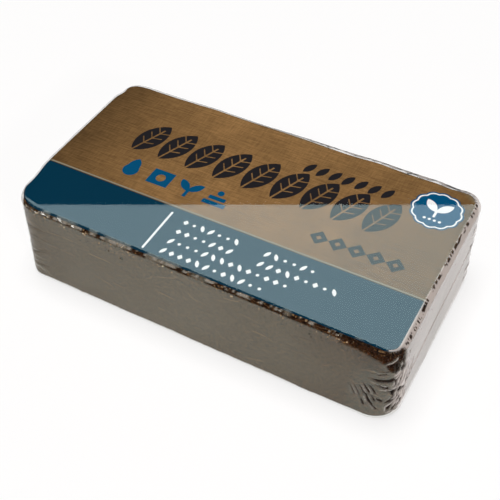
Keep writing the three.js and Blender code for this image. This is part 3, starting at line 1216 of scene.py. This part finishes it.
def other_folds(k):
    """Folds for a corner that the photograph hardly shows, ridges and creases by turns. Most rise
    away from the corner, and the lowest fall. They are faint on the front left corner."""
    draw = np.random.default_rng(40 + k)
    strength = 0.3 if k == FRONT_LEFT else 1
    folds = []
    for number in range(26):
        side = -1 if number % 4 < 2 else 1
        level = draw.uniform(5, 40)
        lean = draw.uniform(-12, 40) * (1 if level > 12 else -0.6)
        direction = lean if side > 0 else 180 - lean
        start = side * draw.uniform(0, 4)
        length, bend = draw.uniform(8, 18), side * draw.uniform(-0.006, 0.006)
        width, height = draw.uniform(0.5, 0.8), strength * draw.uniform(0.35, 0.65)
        folds.append((start, level, direction, length, width, height * (-1) ** number, bend))
    return folds


def fold_height(along, up, start, level, direction, length, width, height, bend=0):
    """Height of one fold: a rounded ridge or crease on a bending line, that rises quickly from its
    start and narrows and fades to its end."""
    angle = math.radians(direction)
    u, v = along - start, up - level
    run = u * math.cos(angle) + v * math.sin(angle)
    across = -u * math.sin(angle) + v * math.cos(angle) - bend * run**2
    spread = width * (1.15 - 0.5 * run.clip(0, length) / length)
    return height * bell(across, spread) * hill(run, -1.0, 1.2, 0.5 * length, length)


def seal_level(points):
    """Height of the heat seal: it wanders, and on the right end it falls towards the front."""
    x, y = points[..., 0], points[..., 1]
    return 23.5 + 0.09 * (y + 5) * smooth(x, 60, 95) + 0.5 * flat_relief(x, y, 30, 61)


def heat_seal(points, height):
    """Height of the seal's bead, with a hollow under it, and how dark the painted shade line in that
    hollow is, which comes and goes. The front has no seal."""
    over_seal = height - seal_level(points)
    has_seal = smooth(points[..., 1], -46, -40)
    bead = bell(over_seal, 0.5) - 0.4 * bell(over_seal + 1.1, 0.6)
    # A line of painted shade in the hollow under the bead
    line = 0.6 * bell(over_seal + 0.9, 0.45) * smooth(relief(points, 4, 75), -0.15, 0.15)
    return bead * has_seal, line * has_seal


def turn_profile(reach, slope):
    """Insets and drops of the turn from wall to top, as rows x stations. The film's tilt goes from
    upright to the slope, holds it, and goes on to level, and its steps are added up."""
    share = np.linspace(0, 1, TURN_STEPS + 1)[:, None]
    tilt = slope + (math.pi / 2 - slope) * (1 - smooth(share, 0, TURN_ROUNDING))
    tilt = tilt - slope * smooth(share, 1 - TURN_ROUNDING, 1)
    middle = (tilt[1:] + tilt[:-1]) / 2
    start = np.zeros((1, len(reach)))
    inward = np.concatenate([start, np.cumsum(np.cos(middle), 0)])
    upward = np.concatenate([start, np.cumsum(np.sin(middle), 0)])
    scale = reach / inward[-1]
    return inward * scale, (upward[-1] - upward) * scale


def film_rows(ring):
    """The film's plain rows, as insets and heights, rows x stations, with the height where each
    station's wall ends: a rounded foot, the wall and the turn. The last output is 0 under the turn
    and goes from 0 to 1 over it."""
    outline, out = ring_points(ring, 0, np.full((1, 1), HEIGHT))
    shares = side_shares(out[0])
    to_right = smooth(outline[0, :, 0], -85, 75)[:, None]
    reach, slope = (
        (shares * (ends[0] + (ends[1] - ends[0]) * to_right)).sum(-1) for ends in (TURN_REACH, TURN_SLOPE)
    )
    turn_inset, drop = turn_profile(reach, slope)
    quarter = np.linspace(0, math.pi / 2, FOOT_STEPS + 1)[:, None]
    wall = np.linspace(0, 1, FILM_WALL_ROWS + 2)[1:-1, None]
    foot_top, wall_top = FILM_BOTTOM + FILM_FOOT, FILM_TOP - drop[0]
    none = np.zeros(len(reach))
    inset = [FILM_FOOT * (1 - np.sin(quarter)) + none, wall * none, turn_inset]
    height = [
        FILM_BOTTOM + FILM_FOOT * (1 - np.cos(quarter)) + none,
        foot_top + (wall_top - foot_top) * wall,
        FILM_TOP - drop,
    ]
    over = [quarter * none, wall * none, turn_inset / reach]
    inset, height, over = (np.concatenate(rows) for rows in (inset, height, over))
    return FILM_INSET + inset, height, wall_top, over


def crinkles(along, up):
    """Height of the crinkles just right of the front right corner: relief that is stretched along
    lines that rise away from the corner."""
    angle = math.radians(60)
    run = along * math.cos(angle) + up * math.sin(angle)
    across = up * math.cos(angle) - along * math.sin(angle)
    bends = flat_relief(run / 4, across / 6, 1, 98)
    height = np.maximum(1.15 * flat_relief(across / 0.8 + 1.2 * bends, run / 3, 1, 99), -0.7)
    return height * hill(along, -1, 3, 9, 15) * hill(up, 3, 8, 40, 45)


def film_folds(ring, height, points):
    """Height of all folds on the walls, of which creases are less than 0."""
    folds = crinkles(along_from(ring, FRONT_RIGHT) + 0 * height, height)
    for k in range(4):
        twisted = height + 0.5 * relief(points, 6, 80 + k)
        chosen = CORNER_FOLDS if k == FRONT_RIGHT else other_folds(k)
        along = along_from(ring, k) + 0 * height
        folds = folds + sum(fold_height(along, twisted, *fold) for fold in chosen)
    return folds


def near_row(over, middle, full, end):
    """1 on the turn within full of its row at middle, and 0 from end on."""
    return 1 - smooth(np.abs(over - middle), full, end)


def front_dashes(points, run, over):
    """Short cream dashes along the front turn, partly painted glints, and the patches of bare coir
    between them, which painted shade leaves dark: relief stretched along the edge, over a threshold
    that rises towards the right."""
    x = points[..., 0]
    place = run / 1.2, over * 2.4
    glint_dashes = flat_relief(*place, 1, 92) + 0.5 * flat_relief(*place, 0.45, 97)
    bare = 0.1 * relief(points, 14, 95) + 0.3 * smooth(x, 45, 70)
    middle = 0.34 + 0.1 * smooth(x, -60, -20)
    patches = smooth(relief(points, 4.5, 101) + 0.5 * smooth(x, -20, 60), -0.3, 0.05)
    return smooth(glint_dashes - bare, 0.0, 0.2) * near_row(over, middle, 0.12, 0.26), patches


def right_specks(points, run, over):
    """Crumbs that press on the right turn as dark specks of painted shade, in a row that lies nearer to
    the card towards the back: relief over a threshold."""
    place = run / 0.85, over * 1.8
    crumbs = flat_relief(*place, 1, 93) + 0.7 * flat_relief(*place, 0.45, 94)
    middle = 0.3 + 0.4 * smooth(points[..., 1], -34, -14)
    return smooth(crumbs, -0.15, 0.1) * near_row(over, middle, 0.12, 0.3)


def turn_milk_and_shade(points, out, over):
    """How milky the film's turn from wall to top is, and how much painted shade it has. On the front it
    has short cream dashes, milky film that is partly a painted glint, over coir that painted shade
    leaves dark. On the right end and the right part of the back it is milky, with crumbs that press
    on it as dark specks of painted shade, and on the rest it is a line of painted shade. A milky rim,
    partly a painted highlight, lies beside the card at the front right corner."""
    front, right, back, left = np.moveaxis(side_shares(out), -1, 0)
    x, y, _ = np.moveaxis(points, -1, 0)
    run = y * out[..., 0] - x * out[..., 1]
    glint_dashes, patches = front_dashes(points, run, over)
    specks = right_specks(points, run, over)
    back_specks = smooth(flat_relief(run / 1.3, over * 3, 1, 96), -0.1, 0.25)
    far = back + left

    # The right part of the back, where the milk fades out unevenly towards the card
    fringe = smooth(x, -10, 25)
    uneven = 0.3 * flat_relief(run / 2.2, 0, 1, 103)
    fading = 1 - smooth(over + uneven, 0.5, 0.9) * fringe * back
    # A milky rim beside the card, partly a painted highlight
    rim = smooth(out[..., 0], 0.05, 0.4) * smooth(over, 0.52, 0.66) * (1 - smooth(y, -32, -12))
    between = (1 - glint_dashes) * (0.2 + 0.08 * (1 - patches))
    milk_and_sheen = front * (0.38 * glint_dashes + between) + right * 0.6 + far * (0.5 + 0.5 * fringe)
    milk_and_sheen = np.maximum(milk_and_sheen * fading, 0.75 * rim * (1 - specks))
    # Painted shade on the turn, which leaves the coir under it dark
    dark = front * (1 - glint_dashes) * (0.35 + 0.65 * patches) + right * specks
    dark = dark + far * (1 - 0.38 * fringe * (1 - back_specks))
    dark = dark * (1 - rim * front)
    on_turn = smooth(over, 0.0, 0.1) * (1 - smooth(over, 0.88, 1.0) * (1 - fringe * back))
    return milk_and_sheen * on_turn, dark * on_turn


def film_milk_and_shade(points, out, over, on_wall, loose, corner, folds, seam_shade):
    """How milky the film is and how much painted shade it has, from 0 to 1 at each point. It is milky
    on the walls and most of all on ridges, where the milk is partly a painted highlight. Painted
    shade, which leaves the film dark and clear, lies over what has crumbled, in creases and where
    the brick's front right corner is worn low down."""
    x = points[..., 0]
    shares = side_shares(out)
    cloudy = 1 + 0.14 * relief(points, 24, 90) + 0.08 * relief(points, 7, 91)
    cloudy = cloudy - shares[..., 0] * (0.5 * smooth(x, 0, 90) + 0.35 * smooth(-x, 60, 95))
    cloudy = cloudy + shares[..., 2:].sum(-1) * 0.4 * relief(points, 15, 102)
    wall = shares @ WALL_MILK_AND_SHEEN * cloudy
    wall = wall + (CORNER_MILK - wall) * corner * shares[..., 0]
    # Ridges: more milk, partly a painted highlight
    ridges = np.clip(1.3 * folds, 0, 1) * on_wall
    # Painted shade in creases and in the hollow under the heat seal
    crease_shade = np.clip(2.8 * np.maximum(-folds, seam_shade), 0, 1) * on_wall
    right_turn = smooth(out[..., 0], 0.1, 0.5) * smooth(over, 0.3, 0.5)
    loose = loose * (1 - smooth(over, 0.6, 0.9)) * (1 - right_turn)
    wall = wall * smooth(points[..., 2], 0.3, 2.0) * (1 - smooth(over, 0.0, 0.1)) * (1 - loose)
    milk_and_sheen = (wall + RIDGE_MILK_AND_HIGHLIGHT * ridges) * (1 - crease_shade) + CREASE_MILK * crease_shade**2
    turn_milk_and_sheen, turn_shade = turn_milk_and_shade(points, out, over)
    # Painted shade: over the loose corner, in creases and along the turn
    cling_shade = np.maximum(np.maximum(loose * (1 - ridges), crease_shade), turn_shade)
    return {"milk_and_sheen": np.clip(milk_and_sheen + turn_milk_and_sheen, 0, 1), "cling_shade": np.clip(cling_shade, 0, 1)}


def film_surface(settings):
    """The film as rows x stations points, and its milk and painted shade. It lies flat on the card,
    hangs from the card's edge to the wall, follows the wall and turns under the brick. Over that lie
    the seal's bead, the folds at the corners, slack waves and the bumps of the crumbs under it."""
    arc_steps, near = (16, 14, 18, 62), 26
    spacings = [(1.1, 1.3, 1.5), (1.5, 2.5, 1.1), (1.0, 1.15, 0.34), (0.34, 0.85, 1.1)]
    ring = stations(arc_steps, near, spacings)
    inset, height, wall_top, over = film_rows(ring)
    points, out = ring_points(ring, inset, height)
    along = along_from(ring, FRONT_RIGHT) + 0 * height
    loose = loose_corner(along, height)
    corner = hill(along, -24, -13, 15, 24) * (1 - smooth(height, 30, 38))
    off_top = 1 - smooth(over, 0.4, 0.8)
    on_wall = hill(height, 0.3, 2.0, wall_top - 0.8, wall_top)
    waves = 0.12 * relief(points, 22, 71) + 0.05 * relief(points, 8, 72) - 0.05
    crumbs = relief(points, 2.2, 73) + 0.4 * relief(points, 1.3, 74)
    on_edge = smooth(height, wall_top - 2.0, wall_top) * (1 - loose)
    bumps = (0.16 * on_edge + 0.4 * loose) * crumbs * off_top
    lean = -0.8 * loose * smooth(height, 34, 47) * off_top
    bead, seam_shade = heat_seal(points, height)
    folds = film_folds(ring, height, points)
    under_top = hill(height, 1.0, 4.0, wall_top - 0.5, wall_top + 1.5)
    stand = on_wall * waves + under_top * 0.9 * folds + bumps + lean
    stand = stand + settings.seal_stand / MM * bead
    stand = soft_limit(stand, 0.28 + 0.3 * corner + loose, 0.6)
    stand = soft_limit(stand + outline_bumps(points), FAR_AWAY, room_outside(points, out) - 0.02)
    finish = film_milk_and_shade(points, out, over, on_wall, loose, corner, folds, seam_shade)
    ends = len(FILM_FACE_SHARES)
    finish = {key: np.pad(value, ((ends, ends), (0, 0))) for key, value in finish.items()}
    return flat_ends(points + out * stand[..., None], FILM_FACE_SHARES), finish


class COIRBRICK_OT_film(bpy.types.Operator):
    """Add the shrink film, as one closed skin"""

    bl_idname = "coir_brick.film"
    bl_label = "Shrink film"

    def execute(self, context):
        settings = context.scene.coir_brick_film
        points, finish = film_surface(settings)
        film = add_closed_piece("shrink_film_clear", points, shrink_film(settings), finish)
        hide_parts("shrink_film")
        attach(film, "root")
        return {"FINISHED"}


class COIRBRICK_PT_panel(bpy.types.Panel):
    """Settings and steps of the coir brick"""

    bl_label = "Coir Brick"
    bl_idname = "COIRBRICK_PT_panel"
    bl_space_type = "VIEW_3D"
    bl_region_type = "UI"
    bl_category = "Coir Brick"

    def draw(self, context):
        for operator, name, group in STEPS:
            box = self.layout.box()
            box.operator(operator.bl_idname)
            for setting in group.__annotations__:
                box.prop(getattr(context.scene, name), setting)


# Each step's operator, the name of its settings on the scene, and their class
STEPS = (
    (COIRBRICK_OT_stage, "coir_brick_stage", CoirBrickStageSettings),
    (COIRBRICK_OT_block, "coir_brick_block", CoirBrickBlockSettings),
    (COIRBRICK_OT_card, "coir_brick_card", CoirBrickCardSettings),
    (COIRBRICK_OT_film, "coir_brick_film", CoirBrickFilmSettings),
)


def register():
    for operator, name, group in STEPS:
        bpy.utils.register_class(group)
        setattr(bpy.types.Scene, name, PointerProperty(type=group))
        bpy.utils.register_class(operator)
    bpy.utils.register_class(COIRBRICK_PT_panel)


def unregister():
    bpy.utils.unregister_class(COIRBRICK_PT_panel)
    for operator, name, group in reversed(STEPS):
        bpy.utils.unregister_class(operator)
        delattr(bpy.types.Scene, name)
        bpy.utils.unregister_class(group)


def main():
    register()
    for operator, _, _ in STEPS:
        name = operator.bl_idname.split(".")[1]
        getattr(bpy.ops.coir_brick, name)()


if __name__ == "__main__":
    main()
